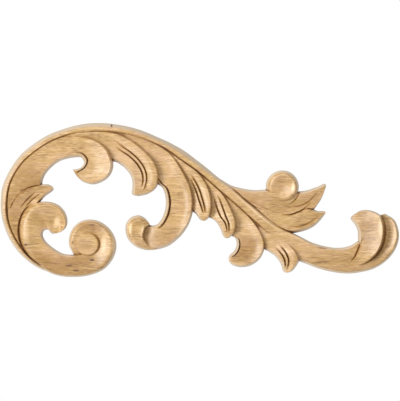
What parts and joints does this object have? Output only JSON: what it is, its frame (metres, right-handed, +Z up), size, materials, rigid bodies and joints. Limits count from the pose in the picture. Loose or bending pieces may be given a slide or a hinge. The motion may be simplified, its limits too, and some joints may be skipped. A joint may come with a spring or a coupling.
{
  "type": "acanthus wood applique",
  "caption": "Carved acanthus scroll relief in beech with a flat back, made to be fixed on furniture or panelling.",
  "frame": {"origin": "on the flat back, at the middle of the outline's length and height", "axes": "+X along the length towards the end with the terminal scroll, +Y into the surface it is fixed on, +Z up"},
  "size_m": [0.2401, 0.014, 0.0928],
  "materials": {
    "beech": "satin, untreated"
  },
  "bodies": {
    "root": {"carved_scroll": "beech"}
  },
  "joints": []
}
